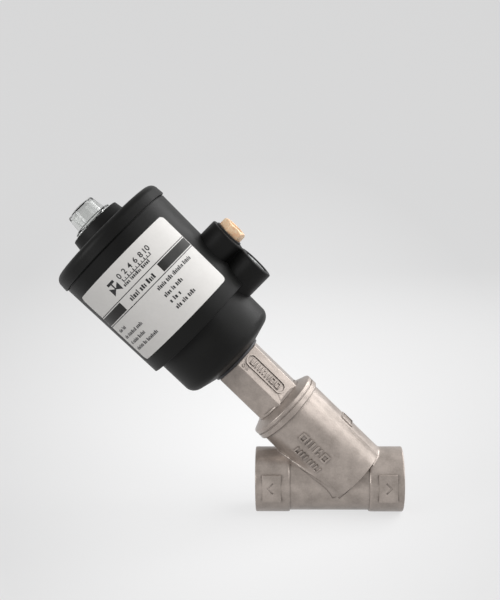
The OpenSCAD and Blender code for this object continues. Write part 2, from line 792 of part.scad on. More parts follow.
// Piston with grooves for its seal and guide ring and pockets for the springs
module piston() {
    r = bore_d / 2 - piston_gap;
    hub = hub_d / 2;
    t = stem_thread_d / 2 + fit;
    f = piston_foot;
    outer_in = outer_spring_d / 2 - outer_wire_d / 2 - 0.4;
    outer_out = outer_spring_d / 2 + outer_wire_d / 2 + 0.4;
    inner_in = inner_spring_d / 2 - inner_wire_d / 2 - 0.4;
    inner_out = inner_spring_d / 2 + inner_wire_d / 2 + 0.4;
    color("#d8d6cf") difference() {
        turned([[t, f], [r, f], [r, piston_top], [t, piston_top]]);
        ring(2 * (r - seal_groove_depth), bore_d + 2, f + seal_groove_foot, f + seal_groove_foot + seal_groove_h);
        ring(2 * (r - guide_groove_depth), bore_d + 2, f + guide_groove_foot, f + guide_groove_foot + guide_groove_h);
        ring(2 * outer_in, 2 * outer_out, spring_base, piston_top + 1);
        ring(2 * inner_in, 2 * inner_out, spring_base, piston_top + 1);
        ring(2 * hub + 4, bore_d - 14, f - 1, f + 2.4);
    }
}

// Lip seal with its mouth towards the air
module piston_seal() {
    i = bore_d / 2 - piston_gap - seal_groove_depth + fit;
    o = bore_d / 2 - fit;
    f = piston_foot + seal_groove_foot + fit;
    top = f + seal_groove_h - 2 * fit;
    color("#1c1c1e") turned([[i, f], [i + 1.2, f], [i + 1.7, f + 1.7], [i + 2.2, f], [o, f], [o, f + 1],
        [o - 0.35, top], [i, top]]);
}

module piston_guide_ring() {
    foot = piston_foot + guide_groove_foot + fit;
    inner = bore_d - 2 * (piston_gap + guide_groove_depth - fit);
    color("#6b5b45") ring(inner, bore_d - 4 * fit, foot, foot + guide_groove_h - 2 * fit);
}

module piston_nut() {
    color("#b9bcc0") hex_nut(piston_nut_af, stem_thread_d + 2 * fit, piston_top, piston_nut_h);
}

// Rod that carries the indicator cap up into the dome
module indicator_rod() {
    r = rod_d / 2;
    spigot = r - 1 - fit;
    foot = stem_top - rod_spigot_h;
    color("#c9ccce") turned([[0, foot], [spigot, foot], [spigot, stem_top], [r, stem_top],
        [r, rod_top - 0.4], [r - 0.4, rod_top], [0, rod_top]]);
}

// Bright cap that shows the valve's position
module indicator_cap() {
    r = cap_d / 2;
    top = cap_foot + cap_h;
    color("#d9dde0") difference() {
        turned([[0, cap_foot], [r - 0.4, cap_foot], [r, cap_foot + 0.4], [r, top - 1.2], [r - 1.2, top], [0, top]]);
        up_branch(cap_foot - 1) cylinder(d = rod_d + 2 * fit, h = rod_top - cap_foot + 1 + eps);
    }
}

valve_body();
bonnet();
bonnet_gasket();
packing_washer();
packing_spring();
thrust_ring();
packing_rings();
gland_nut();
guide_bush();
stem_seal();
neck_collar();
housing_seal();
thrust_washer();
housing_nut();
actuator_housing();
lower_port_insert();
upper_port_insert();
silencer_washer();
silencer_body();
silencer_element();
lid();
lid_seal();
indicator_dome();
dome_seal();
label();
outer_spring();
inner_spring();
stem();
valve_disc();
seat_seal();
disc_retainer();
disc_nut();
piston();
piston_seal();
piston_guide_ring();
piston_nut();
indicator_rod();
indicator_cap();
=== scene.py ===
# %% [markdown]
# This lesson dresses an angle seat valve: a cast stainless body, a hexagonal
# neck and a black piston actuator that leans at 45 degrees. The exact solids
# come in first. They carry the sizes and the motion, and stay as they are.
# The new pieces made here stand over them and bring the cast skin, the label,
# the threads and the clear dome.

# %% Bring in the solids
import math
import bpy
from mathutils import Matrix, Vector


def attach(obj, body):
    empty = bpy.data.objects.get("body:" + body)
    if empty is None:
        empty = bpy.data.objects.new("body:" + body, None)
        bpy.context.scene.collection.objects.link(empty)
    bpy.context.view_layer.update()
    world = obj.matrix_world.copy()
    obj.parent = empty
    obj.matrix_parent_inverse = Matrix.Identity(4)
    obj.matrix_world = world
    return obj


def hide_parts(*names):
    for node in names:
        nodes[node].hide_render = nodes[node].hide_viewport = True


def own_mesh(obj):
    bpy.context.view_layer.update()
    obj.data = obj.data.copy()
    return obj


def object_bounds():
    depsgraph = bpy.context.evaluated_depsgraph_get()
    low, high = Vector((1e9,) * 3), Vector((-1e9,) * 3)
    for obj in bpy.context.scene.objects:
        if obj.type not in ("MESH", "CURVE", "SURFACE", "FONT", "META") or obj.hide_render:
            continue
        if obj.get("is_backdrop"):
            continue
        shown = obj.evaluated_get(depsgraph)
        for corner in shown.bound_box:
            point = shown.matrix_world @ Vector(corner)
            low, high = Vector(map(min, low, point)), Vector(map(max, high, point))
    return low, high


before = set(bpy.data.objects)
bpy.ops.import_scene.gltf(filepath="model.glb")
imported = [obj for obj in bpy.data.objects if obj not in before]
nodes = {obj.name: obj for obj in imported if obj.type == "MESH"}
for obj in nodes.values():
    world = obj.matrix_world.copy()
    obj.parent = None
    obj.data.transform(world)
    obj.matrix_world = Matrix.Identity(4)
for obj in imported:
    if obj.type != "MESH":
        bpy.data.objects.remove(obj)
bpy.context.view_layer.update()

# %% [markdown]
# Everything on the actuator is round about one leaning axis, the branch axis.
# Modelling on a slant is hard, so each piece is modelled upright in
# millimetres about Z, and one matrix then leans it into place and turns
# millimetres into metres. The pipe and the two air ports have matrices too.

# %% The places that pieces are settled into
METRES = Matrix.Scale(0.001, 4)
CROSSING = -27.2
LEAN = math.radians(45)
PIPE_LENGTH = 95.2
LOWER_PORT, UPPER_PORT = 148.2, 173.0
BRANCH_MM = Matrix.Translation((CROSSING, 0, 0)) @ Matrix.Rotation(-LEAN, 4, "Y")
ON_BRANCH = METRES @ Matrix.Translation((CROSSING, 0, 0)) @ Matrix.Rotation(-LEAN, 4, "Y")
ALONG_PIPE = Matrix.Rotation(math.radians(-90), 4, "Y")
FROM_OUTLET = Matrix.Translation((-PIPE_LENGTH, 0, 0)) @ Matrix.Rotation(math.radians(90), 4, "Y")
HALF_TURN = Matrix.Rotation(math.pi, 4, "Z")


def port_mm(height):
    return Matrix.Translation((0, 0, height)) @ Matrix.Rotation(math.radians(90), 4, "Y")


def out_of_port(height):
    return ON_BRANCH @ Matrix.Translation((0, 0, height)) @ Matrix.Rotation(math.radians(90), 4, "Y")


print("branch axis:", [round(x, 3) for x in (ON_BRANCH.to_3x3() @ Vector((0, 0, 1000)))])

# %% [markdown]
# An operator works on whatever is selected, and the loaded solids are all
# selected. So each step starts by clearing the selection and choosing one
# piece. Booleans, remeshing and smoothing are modifiers that are applied at
# once, so that what is seen is plain mesh.


# %% Helpers that choose, modify and settle a piece
def choose(*pieces):
    if bpy.context.object and bpy.context.object.mode != "OBJECT":
        bpy.ops.object.mode_set(mode="OBJECT")
    bpy.ops.object.select_all(action="DESELECT")
    for piece in pieces:
        piece.select_set(True)
    if pieces:
        bpy.context.view_layer.objects.active = pieces[0]


def modify(piece, kind, **settings):
    choose(piece)
    modifier = piece.modifiers.new("step", kind)
    for name, value in settings.items():
        setattr(modifier, name, value)
    bpy.ops.object.modifier_apply(modifier=modifier.name)


def combine(piece, tool, operation="DIFFERENCE", solver="EXACT"):
    modify(piece, "BOOLEAN", operation=operation, object=tool, solver=solver)
    bpy.data.objects.remove(tool)


def pick(piece, kind, wanted):
    bpy.ops.object.mode_set(mode="EDIT")
    bpy.ops.mesh.select_mode(type=kind)
    bpy.ops.mesh.select_all(action="DESELECT")
    bpy.ops.object.mode_set(mode="OBJECT")
    parts = piece.data.vertices if kind == "VERT" else piece.data.polygons
    for part in parts:
        part.select = wanted(part)
    bpy.ops.object.mode_set(mode="EDIT")


def join(first, *others):
    choose(first, *others)
    bpy.ops.object.join()
    return first


def settle(piece, place):
    choose(piece)
    piece.matrix_world = place @ piece.matrix_world
    bpy.ops.object.transform_apply(location=True, rotation=True, scale=True)
    return piece


def shade(piece, material, angle=32):
    choose(piece)
    bpy.ops.object.shade_smooth_by_angle(angle=math.radians(angle))
    piece.data.materials.clear()
    piece.data.materials.append(material)


def hand_over(piece, body, slot, *stands_for):
    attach(piece, body)
    if stands_for:
        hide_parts(*stands_for)
    low = [1000 * min(v.co[i] for v in piece.data.vertices) for i in range(3)]
    high = [1000 * max(v.co[i] for v in piece.data.vertices) for i in range(3)]
    size = [round(h - l, 1) for h, l in zip(high, low)]
    print(piece.name, len(piece.data.polygons), "faces, size in mm:", size)


# %% [markdown]
# Most parts of a valve are turned on a lathe or moulded round, so one helper
# does the lathe's work: a single vertex is extruded along the outline, and the
# outline is spun round Z. Where the spin closes on itself, the doubles are
# merged and the faces are turned outwards.


# %% The lathe
def arc(x, z, r, start, end, steps=6):
    turns = [math.radians(start + (end - start) * i / steps) for i in range(steps + 1)]
    return [(x + r * math.cos(t), z + r * math.sin(t)) for t in turns]


def outline(name, points):
    choose()
    bpy.ops.mesh.primitive_plane_add(size=1)
    piece = bpy.context.object
    piece.name = name
    bpy.ops.object.mode_set(mode="EDIT")
    bpy.ops.mesh.select_mode(type="VERT")
    bpy.ops.mesh.merge(type="CENTER")
    x, z = points[0]
    bpy.ops.transform.translate(value=(x, 0, z))
    for next_x, next_z in points[1:]:
        step = (next_x - x, 0, next_z - z)
        bpy.ops.mesh.extrude_region_move(TRANSFORM_OT_translate={"value": step})
        x, z = next_x, next_z
    return piece


def turn(name, points, steps=128):
    piece = outline(name, points)
    bpy.ops.mesh.select_all(action="SELECT")
    bpy.ops.mesh.spin(steps=steps, angle=2 * math.pi, center=(0, 0, 0), axis=(0, 0, 1))
    bpy.ops.mesh.select_all(action="SELECT")
    bpy.ops.mesh.remove_doubles(threshold=0.002)
    bpy.ops.mesh.normals_make_consistent(inside=False)
    bpy.ops.object.mode_set(mode="OBJECT")
    return piece


def ring(name, inner, outer, low, high, steps=128):
    points = [(inner, low), (outer, low), (outer, high), (inner, high), (inner, low)]
    return turn(name, points, steps)


def rod(name, radius, low, high, steps=128):
    return turn(name, [(0, low), (radius, low), (radius, high), (0, high)], steps)


print("a quarter arc has", len(arc(0, 0, 1, 0, 90)), "points")

# %% [markdown]
# An inner thread is a ridge that winds along the bore's wall. Its section is
# drawn once and the Screw modifier winds it. The ridge is let a little into
# the wall and stays its own shell, which keeps the wall's mesh simple.


# %% The thread winder
THREAD_SUNK = 0.12


def wind_thread(name, wall, tip, pitch, start, turns, steps=72):
    flat = 0.12 * pitch
    root = wall + THREAD_SUNK
    crest = start + pitch / 2
    points = [(root, start), (tip, crest - flat), (tip, crest + flat), (root, start + pitch * 0.96)]
    piece = outline(name, [*points, points[0]])
    bpy.ops.mesh.select_all(action="SELECT")
    bpy.ops.mesh.remove_doubles(threshold=0.002)
    bpy.ops.object.mode_set(mode="OBJECT")
    modify(
        piece, "SCREW", steps=steps, render_steps=steps, iterations=turns,
        screw_offset=pitch, use_merge_vertices=False)
    bpy.ops.object.mode_set(mode="EDIT")
    bpy.ops.mesh.select_mode(type="VERT")
    bpy.ops.mesh.select_all(action="DESELECT")
    bpy.ops.mesh.select_non_manifold()
    bpy.ops.mesh.fill_holes(sides=8)
    bpy.ops.mesh.select_all(action="SELECT")
    bpy.ops.mesh.normals_make_consistent(inside=False)
    bpy.ops.object.mode_set(mode="OBJECT")
    return piece


# %% [markdown]
# Each finish is one Principled shader. Real metal and plastic are never even,
# so a fine noise shifts the colour and the roughness a little, and a second
# noise raises a grain through a Bump node. Object coordinates hold the pattern
# still on each piece. A finish may also paint shade into its own colour where
# the surface is hollow, as shade gathers in the creases of a casting.


# %% A finish with grain
CREASE_REACH = 0.0018


# Painted shade: the colour is darkened where an ambient occlusion node finds the surface hollow.
def paint_shade_in_creases(tree, colour, least):
    hollow = tree.nodes.new("ShaderNodeAmbientOcclusion")
    hollow.only_local = True
    hollow.samples = 8
    hollow.inputs["Distance"].default_value = CREASE_REACH
    fade = tree.nodes.new("ShaderNodeMapRange")
    fade.inputs["From Min"].default_value = 0.35
    fade.inputs["From Max"].default_value = 0.95
    fade.inputs["To Min"].default_value = least
    darken = tree.nodes.new("ShaderNodeVectorMath")
    darken.operation = "SCALE"
    tree.links.new(hollow.outputs["AO"], fade.inputs["Value"])
    tree.links.new(fade.outputs["Result"], darken.inputs["Scale"])
    tree.links.new(colour, darken.inputs[0])
    return darken.outputs["Vector"]


def finish(
    name, dark, light, metallic, rough, grain, depth,
    patch=60, fine_share=0.5, painted_crease_shade=None, **sockets
):
    material = bpy.data.materials.new(name)
    material.use_nodes = True
    tree = material.node_tree
    shader = tree.nodes["Principled BSDF"]
    place = tree.nodes.new("ShaderNodeTexCoord")
    fine = tree.nodes.new("ShaderNodeTexNoise")
    broad = tree.nodes.new("ShaderNodeTexNoise")
    fine.inputs["Scale"].default_value = grain
    fine.inputs["Detail"].default_value = 4
    broad.inputs["Scale"].default_value = patch
    broad.inputs["Detail"].default_value = 3
    both = tree.nodes.new("ShaderNodeMath")
    both.operation = "MULTIPLY_ADD"
    both.inputs[1].default_value = fine_share
    half = tree.nodes.new("ShaderNodeMath")
    half.operation = "MULTIPLY"
    half.inputs[1].default_value = 1 - fine_share
    ramp = tree.nodes.new("ShaderNodeValToRGB")
    ramp.color_ramp.elements[0].position = 0.36
    ramp.color_ramp.elements[1].position = 0.64
    ramp.color_ramp.elements[0].color = (*dark, 1)
    ramp.color_ramp.elements[1].color = (*light, 1)
    gloss = tree.nodes.new("ShaderNodeMapRange")
    gloss.inputs["To Min"].default_value = rough[0]
    gloss.inputs["To Max"].default_value = rough[1]
    bump = tree.nodes.new("ShaderNodeBump")
    bump.inputs["Strength"].default_value = 0.6
    bump.inputs["Distance"].default_value = depth
    link = tree.links.new
    link(place.outputs["Object"], fine.inputs["Vector"])
    link(place.outputs["Object"], broad.inputs["Vector"])
    link(fine.outputs["Fac"], both.inputs[0])
    link(broad.outputs["Fac"], half.inputs[0])
    link(half.outputs["Value"], both.inputs[2])
    link(both.outputs["Value"], ramp.inputs["Fac"])
    colour = ramp.outputs["Color"]
    if painted_crease_shade:
        colour = paint_shade_in_creases(tree, colour, painted_crease_shade)
    link(colour, shader.inputs["Base Color"])
    link(broad.outputs["Fac"], gloss.inputs["Value"])
    link(gloss.outputs["Result"], shader.inputs["Roughness"])
    link(fine.outputs["Fac"], bump.inputs["Height"])
    link(bump.outputs["Normal"], shader.inputs["Normal"])
    shader.inputs["Metallic"].default_value = metallic
    for socket, value in sockets.items():
        shader.inputs[socket.replace("_", " ")].default_value = value
    return material


# %% [markdown]
# The body and the bonnet are investment castings that were blasted clean: a
# warm grey metal with a dull, even grain. The actuator is black glass filled
# nylon with a fine satin texture. The small parts inside get finishes of
# their own, since the model can be opened.

# %% The finishes
# The cast finish paints shade into its creases and hollows.
cast = finish(
    "cast_stainless", (0.345, 0.297, 0.264), (0.49, 0.425, 0.382), 0.4, (0.26, 0.36),
    900, 0.00006, patch=110, fine_share=0.3, painted_crease_shade=0.48)
steel = finish(
    "machined_steel", (0.48, 0.47, 0.46), (0.62, 0.61, 0.6), 1, (0.2, 0.34), 700, 0.00002)
spring_wire = finish(
    "spring_wire", (0.3, 0.31, 0.32), (0.42, 0.43, 0.44), 1, (0.25, 0.4), 900, 0.00003)
nylon = finish(
    "black_nylon", (0.0038, 0.0038, 0.0036), (0.009, 0.009, 0.0086), 0, (0.3, 0.64),
    2600, 0.00008, patch=32, Specular_IOR_Level=0.17)
piston_white = finish(
    "piston_plastic", (0.5, 0.49, 0.46), (0.62, 0.61, 0.57), 0, (0.4, 0.55), 900, 0.00003)
bronze = finish(
    "bronze", (0.92, 0.52, 0.29), (1.0, 0.8, 0.55), 0.2, (0.3, 0.5), 900, 0.0001, patch=420)
sinter = finish(
    "sintered_bronze", (0.2, 0.1, 0.05), (0.72, 0.42, 0.22), 0.8, (0.5, 0.7), 2200, 0.0004)
bush_bronze = finish(
    "guide_bronze", (0.42, 0.29, 0.1), (0.55, 0.39, 0.17), 0.9, (0.3, 0.45), 800, 0.00003)
insert_steel = finish(
    "insert_metal", (0.36, 0.37, 0.37), (0.5, 0.51, 0.51), 0.4, (0.35, 0.5), 900, 0.00003)
rubber = finish(
    "black_rubber", (0.009, 0.009, 0.01), (0.02, 0.02, 0.021), 0, (0.5, 0.65), 1800, 0.00005)
ptfe = finish(
    "ptfe", (0.74, 0.73, 0.7), (0.85, 0.84, 0.81), 0, (0.35, 0.5), 600, 0.00002)
brown_ptfe = finish(
    "filled_ptfe", (0.14, 0.09, 0.05), (0.22, 0.15, 0.09), 0, (0.4, 0.55), 900, 0.00003)
graphite = finish(
    "graphite", (0.03, 0.03, 0.034), (0.07, 0.07, 0.075), 0.4, (0.4, 0.6), 1300, 0.00005)
film = finish(
    "label_film", (0.755, 0.737, 0.715), (0.785, 0.767, 0.745), 0, (0.3, 0.36),
    400, 0.000006, Specular_IOR_Level=0.3)
ink = finish(
    "label_ink", (0.006, 0.006, 0.007), (0.012, 0.012, 0.013), 0, (0.3, 0.4), 900, 0.000005)
band_ink = finish(
    "label_band", (0.016, 0.015, 0.014), (0.026, 0.024, 0.022), 0, (0.3, 0.4),
    900, 0.000005, Specular_IOR_Level=0.3)
bright = finish(
    "bright_cap", (0.16, 0.165, 0.155), (0.25, 0.255, 0.24), 0.3, (0.25, 0.38), 300, 0.00002)
clear = finish(
    "clear_plastic", (0.72, 0.73, 0.72), (0.8, 0.81, 0.8), 0, (0.02, 0.03),
    200, 0.0, Transmission_Weight=1, IOR=1.42)
print("first finish:", cast.name, "last finish:", clear.name)

# %% [markdown]
# The solids that stay in view, and those inside, take their finish by name.

# %% Finish the solids that stay
stay = {
    "bonnet_gasket": graphite, "packing_washer": steel, "packing_spring": spring_wire,
    "thrust_ring": steel,
    "packing_rings": ptfe, "gland_nut": steel, "guide_bush": bush_bronze, "stem_seal": rubber,
    "neck_collar": graphite, "housing_seal": rubber, "thrust_washer": steel, "housing_nut": steel,
    "silencer_washer": rubber, "silencer_element": sinter, "lid_seal": rubber, "dome_seal": rubber,
    "outer_spring": spring_wire, "inner_spring": spring_wire, "stem": steel, "valve_disc": cast,
    "seat_seal": ptfe, "disc_retainer": steel, "disc_nut": steel, "piston": piston_white,
    "piston_seal": rubber, "piston_guide_ring": brown_ptfe, "piston_nut": steel,
    "indicator_rod": steel, "indicator_cap": bright,
}
for name, material in stay.items():
    nodes[name].data.materials.clear()
    nodes[name].data.materials.append(material)
print("finished solids:", len(stay))

# %% [markdown]
# The body is cast in one piece: a pipe with two thicker threaded ends and a
# slanted barrel, whose foot swells towards the outlet. A casting has no sharp
# inner corner, so the plain shapes are fused, remeshed into small even faces
# and smoothed, which rounds each join as a foundry does.

# %% Cast the outside of the body
END_R, TUBE_R, END_L = 21.0, 19.9, 22.0
BARREL_R, BARREL_FOOT, SEAM = 23.2, 5.8, 69.1
CAST_CELL = 0.54
SWELL = BRANCH_MM @ Matrix.Translation((-2.8, 0, 0))
SKIRT = [(0, 5.9), (19.5, 5.9), (22.2, 6.9), (23.2, 9.5), (23.2, 22), (20.2, 46), (0, 46)]


def pipe_run(name, grow=0.0):
    half = [(0, -3), (END_R + grow, -3), (END_R + grow, END_L - 0.3), (TUBE_R + grow, END_L + 0.8)]
    mirrored = [(x, PIPE_LENGTH - z) for x, z in reversed(half)]
    return settle(turn(name, half + mirrored, 128), ALONG_PIPE)


def barrel_rod(name, radius, low, high, edge=0.5):
    corner = arc(radius - edge, low + edge, edge, 270, 360, 4)
    points = [(0, low), *corner, (radius, high), (0, high)]
    return settle(turn(name, points, 160), BRANCH_MM)


def keep_left(piece, limit):
    bpy.ops.object.mode_set(mode="EDIT")
    bpy.ops.mesh.select_all(action="SELECT")
    bpy.ops.mesh.bisect(plane_co=(limit, 0, 0), plane_no=(1, 0, 0), use_fill=True, clear_outer=True)
    bpy.ops.object.mode_set(mode="OBJECT")
    return piece


body = pipe_run("cast_body")
combine(body, barrel_rod("barrel", BARREL_R, BARREL_FOOT, SEAM + 3), "UNION")
combine(body, settle(turn("skirt", SKIRT, 160), SWELL), "UNION")
modify(body, "REMESH", mode="VOXEL", voxel_size=CAST_CELL)
modify(body, "SMOOTH", factor=0.5, iterations=14)
print("cast faces:", len(body.data.polygons))

# %% [markdown]
# The smoothing leaves a fillet at every join, but the real body is crisp in
# some places: behind both thick ends, under the barrel's foot, and along its
# swollen flank. A turned cutter clears each of them, cut back first so that it
# keeps off the pipe. Then the true barrel is fused on again.

# %% Clear the crisp corners
FOOT_LEFT, FOOT_RIGHT, FLANK_RIGHT = 15.2, 15, -9
FLANK = [(22.9, 8), (34, 8), (34, 38), (29, 38), (23.1, 22), (22.9, 8)]
TRENCH = [(22.8, 7.2), (24.2, 8.4), (24.2, 26), (22.8, 38), (22.8, 7.2)]


def clear_corner(cutter, pipe_grow):
    combine(cutter, pipe_run("run_guard", pipe_grow))
    combine(body, cutter, "DIFFERENCE", "MANIFOLD")


for flipped in (False, True):
    groove = ring("groove", TUBE_R + 0.02, 26, END_L + 0.1, END_L + 2.6)
    settle(groove, ALONG_PIPE)
    if flipped:
        settle(groove, Matrix.Translation((-PIPE_LENGTH, 0, 0)) @ HALF_TURN)
    combine(groove, barrel_rod("guard", 26.4, 4.2, SEAM + 5))
    combine(body, groove, "DIFFERENCE", "MANIFOLD")
for low, pipe_grow in ((2.6, 0.02), (5.0, -0.4)):
    under = rod("under", 27, low, BARREL_FOOT + 0.6)
    settle(keep_left(under, FOOT_RIGHT), HALF_TURN)
    settle(keep_left(under, FOOT_LEFT), BRANCH_MM @ HALF_TURN)
    clear_corner(under, pipe_grow)
for name, points, pipe_grow in (("flank", FLANK, 0.02), ("trench", TRENCH, -0.4)):
    cutter = keep_left(turn(name, points, 160), FLANK_RIGHT)
    clear_corner(settle(cutter, SWELL), pipe_grow)
combine(body, barrel_rod("sleeve", BARREL_R, BARREL_FOOT, 64.6), "UNION", "MANIFOLD")
print("faces after the corners:", len(body.data.polygons))

# %% [markdown]
# Crisp parts come next: the flat pads on the ends and the raised marks. A
# small block with softened edges is the start of each. Marks for the round
# barrel are laid out flat and then bent to its radius.


# %% Raised strokes that lie on a round or flat face
def block(name, centre, size, turned_by=0.0, soft=0.15):
    choose()
    bpy.ops.mesh.primitive_cube_add(size=1, location=centre)
    piece = bpy.context.object
    piece.name = name
    piece.scale = size
    piece.rotation_euler = (0, turned_by, 0)
    bpy.ops.object.transform_apply(location=True, rotation=True, scale=True)
    bpy.ops.object.mode_set(mode="EDIT")
    bpy.ops.mesh.bevel(offset=soft, segments=2, affect="EDGES")
    bpy.ops.object.mode_set(mode="OBJECT")
    return piece


def chevron(name, tip, reach, rise, face):
    arms = []
    for side in (-1, 1):
        angle = math.atan2(side * rise, -reach)
        length = math.hypot(reach, rise)
        centre = (tip[0] - reach / 2, face, tip[1] + side * rise / 2)
        arms.append(block(name, centre, (length + 0.6, 1.6, 1.0), -angle))
    combine(arms[0], arms[1], "UNION")
    return arms[0]


def bend(piece, radius_at, place):
    for v in piece.data.vertices:
        radius = radius_at(v.co.z) - v.co.y
        angle = v.co.x / radius_at(v.co.z)
        v.co = (radius * math.sin(angle), -radius * math.cos(angle), v.co.z)
    piece.data.update()
    return settle(piece, place)


# %% [markdown]
# Each end has a pad on both sides, and a small chevron that points out of its
# end is sunk into each pad.

# %% The pads and their chevrons
PAD_AT, PAD_SIZE = 10.5, (12.0, 5.2, 17.8)
CHEVRON = 3.2

pads = []
for middle in (-PAD_AT, PAD_AT - PIPE_LENGTH):
    for side in (-1, 1):
        pads.append(block("pad", (middle, side * (END_R - 2.35), 0), PAD_SIZE, soft=0.3))
raised = join(*pads)
for side in (-1, 1):
    face = side * (END_R + 0.25)
    combine(raised, chevron("chevron", (-8.3, 0.2), CHEVRON, CHEVRON, face))
    combine(raised, chevron("chevron", (-87.2, 0.2), -CHEVRON, CHEVRON, face))
print("pad faces:", len(raised.data.polygons))

# %% [markdown]
# Castings carry raised signs. Here they are plain strokes that spell nothing,
# in two rows on the barrel: rings, pairs of bars and dotted bars. Each stroke
# is given as its place across and along, its width and its length. A square
# cast lug with a sunk middle sits on the barrel's upper side.

# %% The rows of strokes and the lug
RING = [(0, 1.9, 5.8, 1.2), (0, -1.9, 5.8, 1.2), (2.3, 0, 1.2, 3.2), (-2.3, 0, 1.2, 3.2)]
PAIR = [(0, 1.5, 5.8, 1.3), (0, -1.5, 5.8, 1.3)]
DOTTED = [(0, 1.4, 5.8, 1.3), (2.0, -1.3, 1.8, 1.3), (-1.5, -1.3, 2.4, 1.3)]
SQUARE = [(0, 1.8, 5.8, 1.2), (0, -1.8, 5.8, 1.2), (-2.3, 0, 1.2, 3.0)]
UPPER_ROW = [(50.2, RING), (44.2, PAIR), (38.0, DOTTED), (31.6, RING)]
LOWER_ROW = [(46.4, SQUARE), (41.2, PAIR), (35.2, PAIR), (29.8, SQUARE)]


def glyph_marks(across_at, scale, glyphs, depth):
    marks = []
    for height, glyph in glyphs:
        for across, along, width, length in glyph:
            centre = (across_at + scale * across, 0, height + scale * along)
            marks.append(block("mark", centre, (scale * width, depth, scale * length), soft=0.18))
    return marks


marks = glyph_marks(-2.0, 1.0, UPPER_ROW, 2.5)
marks += glyph_marks(-11.2, 0.86, LOWER_ROW, 2.5)
raised = join(raised, bend(join(*marks), lambda z: BARREL_R, BRANCH_MM))

lug = block("lug", (BARREL_R + 0.2 - 2.35, 0, 35), (4.7, 9.4, 9.4), soft=0.2)
pick(lug, "FACE", lambda face: face.normal.x > 0.9)
bpy.ops.mesh.inset(thickness=0.9)
bpy.ops.mesh.extrude_region_move(TRANSFORM_OT_translate={"value": (-0.4, 0, 0)})
bpy.ops.object.mode_set(mode="OBJECT")
settle(lug, BRANCH_MM @ Matrix.Rotation(math.radians(-8), 4, "Z"))
raised = join(raised, lug)
raised.name = "end_pads"
print("faces of pads and marks:", len(raised.data.polygons))

# %% [markdown]
# A turned rim ends the barrel at the seam. Then each pipe end is faced and
# bored from outside. The two bores must not meet, because the slanted wall
# between them carries the seat, so each bore is made in two halves that stop
# below the wall and above it.

# %% Cut the machined faces and the passages
RIM = [(21, 64.4), (22.9, 64.4), (24.4, 64.9), (24.8, 65.4), (24.8, 68.5), (24.1, 68.7),
       (24.1, SEAM), (21, SEAM), (21, 64.4)]
combine(body, settle(turn("rim", RIM, 160), BRANCH_MM), "UNION", "MANIFOLD")

THREAD_WALL, THREAD_TIP, THROAT, PASSAGE = 16.62, 15.2, 12.7, 16.2
MOUTH = [(0, -6), (30, -6), (30, 0.9), (21.1, 0.9), *arc(20.2, 0.8, 0.8, 0, -90, 4), (17.6, 0)]
INSIDE = [(THREAD_WALL, 1.0), (THREAD_WALL, 17), (THROAT, 18), (THROAT, 20), (PASSAGE, 24)]
INSIDE += [(PASSAGE, 48), (0, 48)]
BELOW_SEAT, ABOVE_SEAT = 6.6, 10.6


def passage(name, flipped, keep_below):
    tool = turn(name, MOUTH + INSIDE, 96)
    settle(tool, FROM_OUTLET if flipped else ALONG_PIPE)
    along = Vector((-1, 0, 1)).normalized()
    height = BELOW_SEAT if keep_below else ABOVE_SEAT
    bpy.ops.object.mode_set(mode="EDIT")
    bpy.ops.mesh.select_all(action="SELECT")
    bpy.ops.mesh.bisect(
        plane_co=Vector((CROSSING, 0, 0)) + along * height, plane_no=along,
        use_fill=True, clear_outer=keep_below, clear_inner=not keep_below,
    )
    bpy.ops.object.mode_set(mode="OBJECT")
    return tool


for flipped in (False, True):
    for keep_below in (False, True):
        combine(body, passage("passage", flipped, keep_below), "DIFFERENCE", "MANIFOLD")
print("body faces after the passages:", len(body.data.polygons))

# %% [markdown]
# One bore down the branch opens the chamber, the thread for the bonnet, the
# seat in the slanted wall and the raised lip round it.

# %% Bore the barrel and the seat
BARREL_BORE = 18.6
bore = turn("bore", [
    (0, 6), (12, 6), (12, 11.8), (13.2, 11.8), (13.2, 10.6), (BARREL_BORE, 10.6),
    (BARREL_BORE, 56.1), (19, 56.1), (19, 67.9), (21.5, 67.9), (21.5, SEAM), (40, SEAM),
    (40, 80), (0, 80),
])
settle(bore, BRANCH_MM)
combine(body, bore, "DIFFERENCE", "MANIFOLD")
print("body faces:", len(body.data.polygons))

# %% [markdown]
# One thread is wound, and its copy goes into the far end.

# %% Wind the pipe threads and hand the body over
PIPE_PITCH = 2.309
ridge = wind_thread("ridge", THREAD_WALL, THREAD_TIP, PIPE_PITCH, 1.2, 6)
far_ridge = ridge.copy()
far_ridge.data = ridge.data.copy()
bpy.context.collection.objects.link(far_ridge)
settle(ridge, ALONG_PIPE)
settle(far_ridge, FROM_OUTLET)
body = join(body, raised, ridge, far_ridge)
body.name = "cast_body"
settle(body, METRES)
shade(body, cast, 30)
hand_over(body, "valve", "cast_stainless", "valve_body")

# %% [markdown]
# The bonnet is a casting too: a round flange that screws into the body and a
# hexagonal neck. A six sided cylinder gives the neck, its edges are bevelled
# by a casting's small radius, and it is fused with the turned flange.

# %% Shape the bonnet
NECK_R = 31.4 / 2 / math.cos(math.radians(30))
NECK_FOOT, NECK_TOP = 70, 112.2
NECK_TURN, FACET_TURN = 3.4, 33.4
choose()
bpy.ops.mesh.primitive_cylinder_add(vertices=6, radius=NECK_R, depth=NECK_TOP - NECK_FOOT)
neck = bpy.context.object
bpy.ops.object.mode_set(mode="EDIT")
bpy.ops.mesh.select_all(action="SELECT")
bpy.ops.transform.translate(value=(0, 0, (NECK_TOP + NECK_FOOT) / 2))
bpy.ops.mesh.bevel(offset=0.7, segments=4, affect="EDGES")
bpy.ops.object.mode_set(mode="OBJECT")
# Blender's first corner points along Y and OpenSCAD's along X
settle(neck, Matrix.Rotation(math.radians(NECK_TURN - 90 - 90), 4, "Z"))

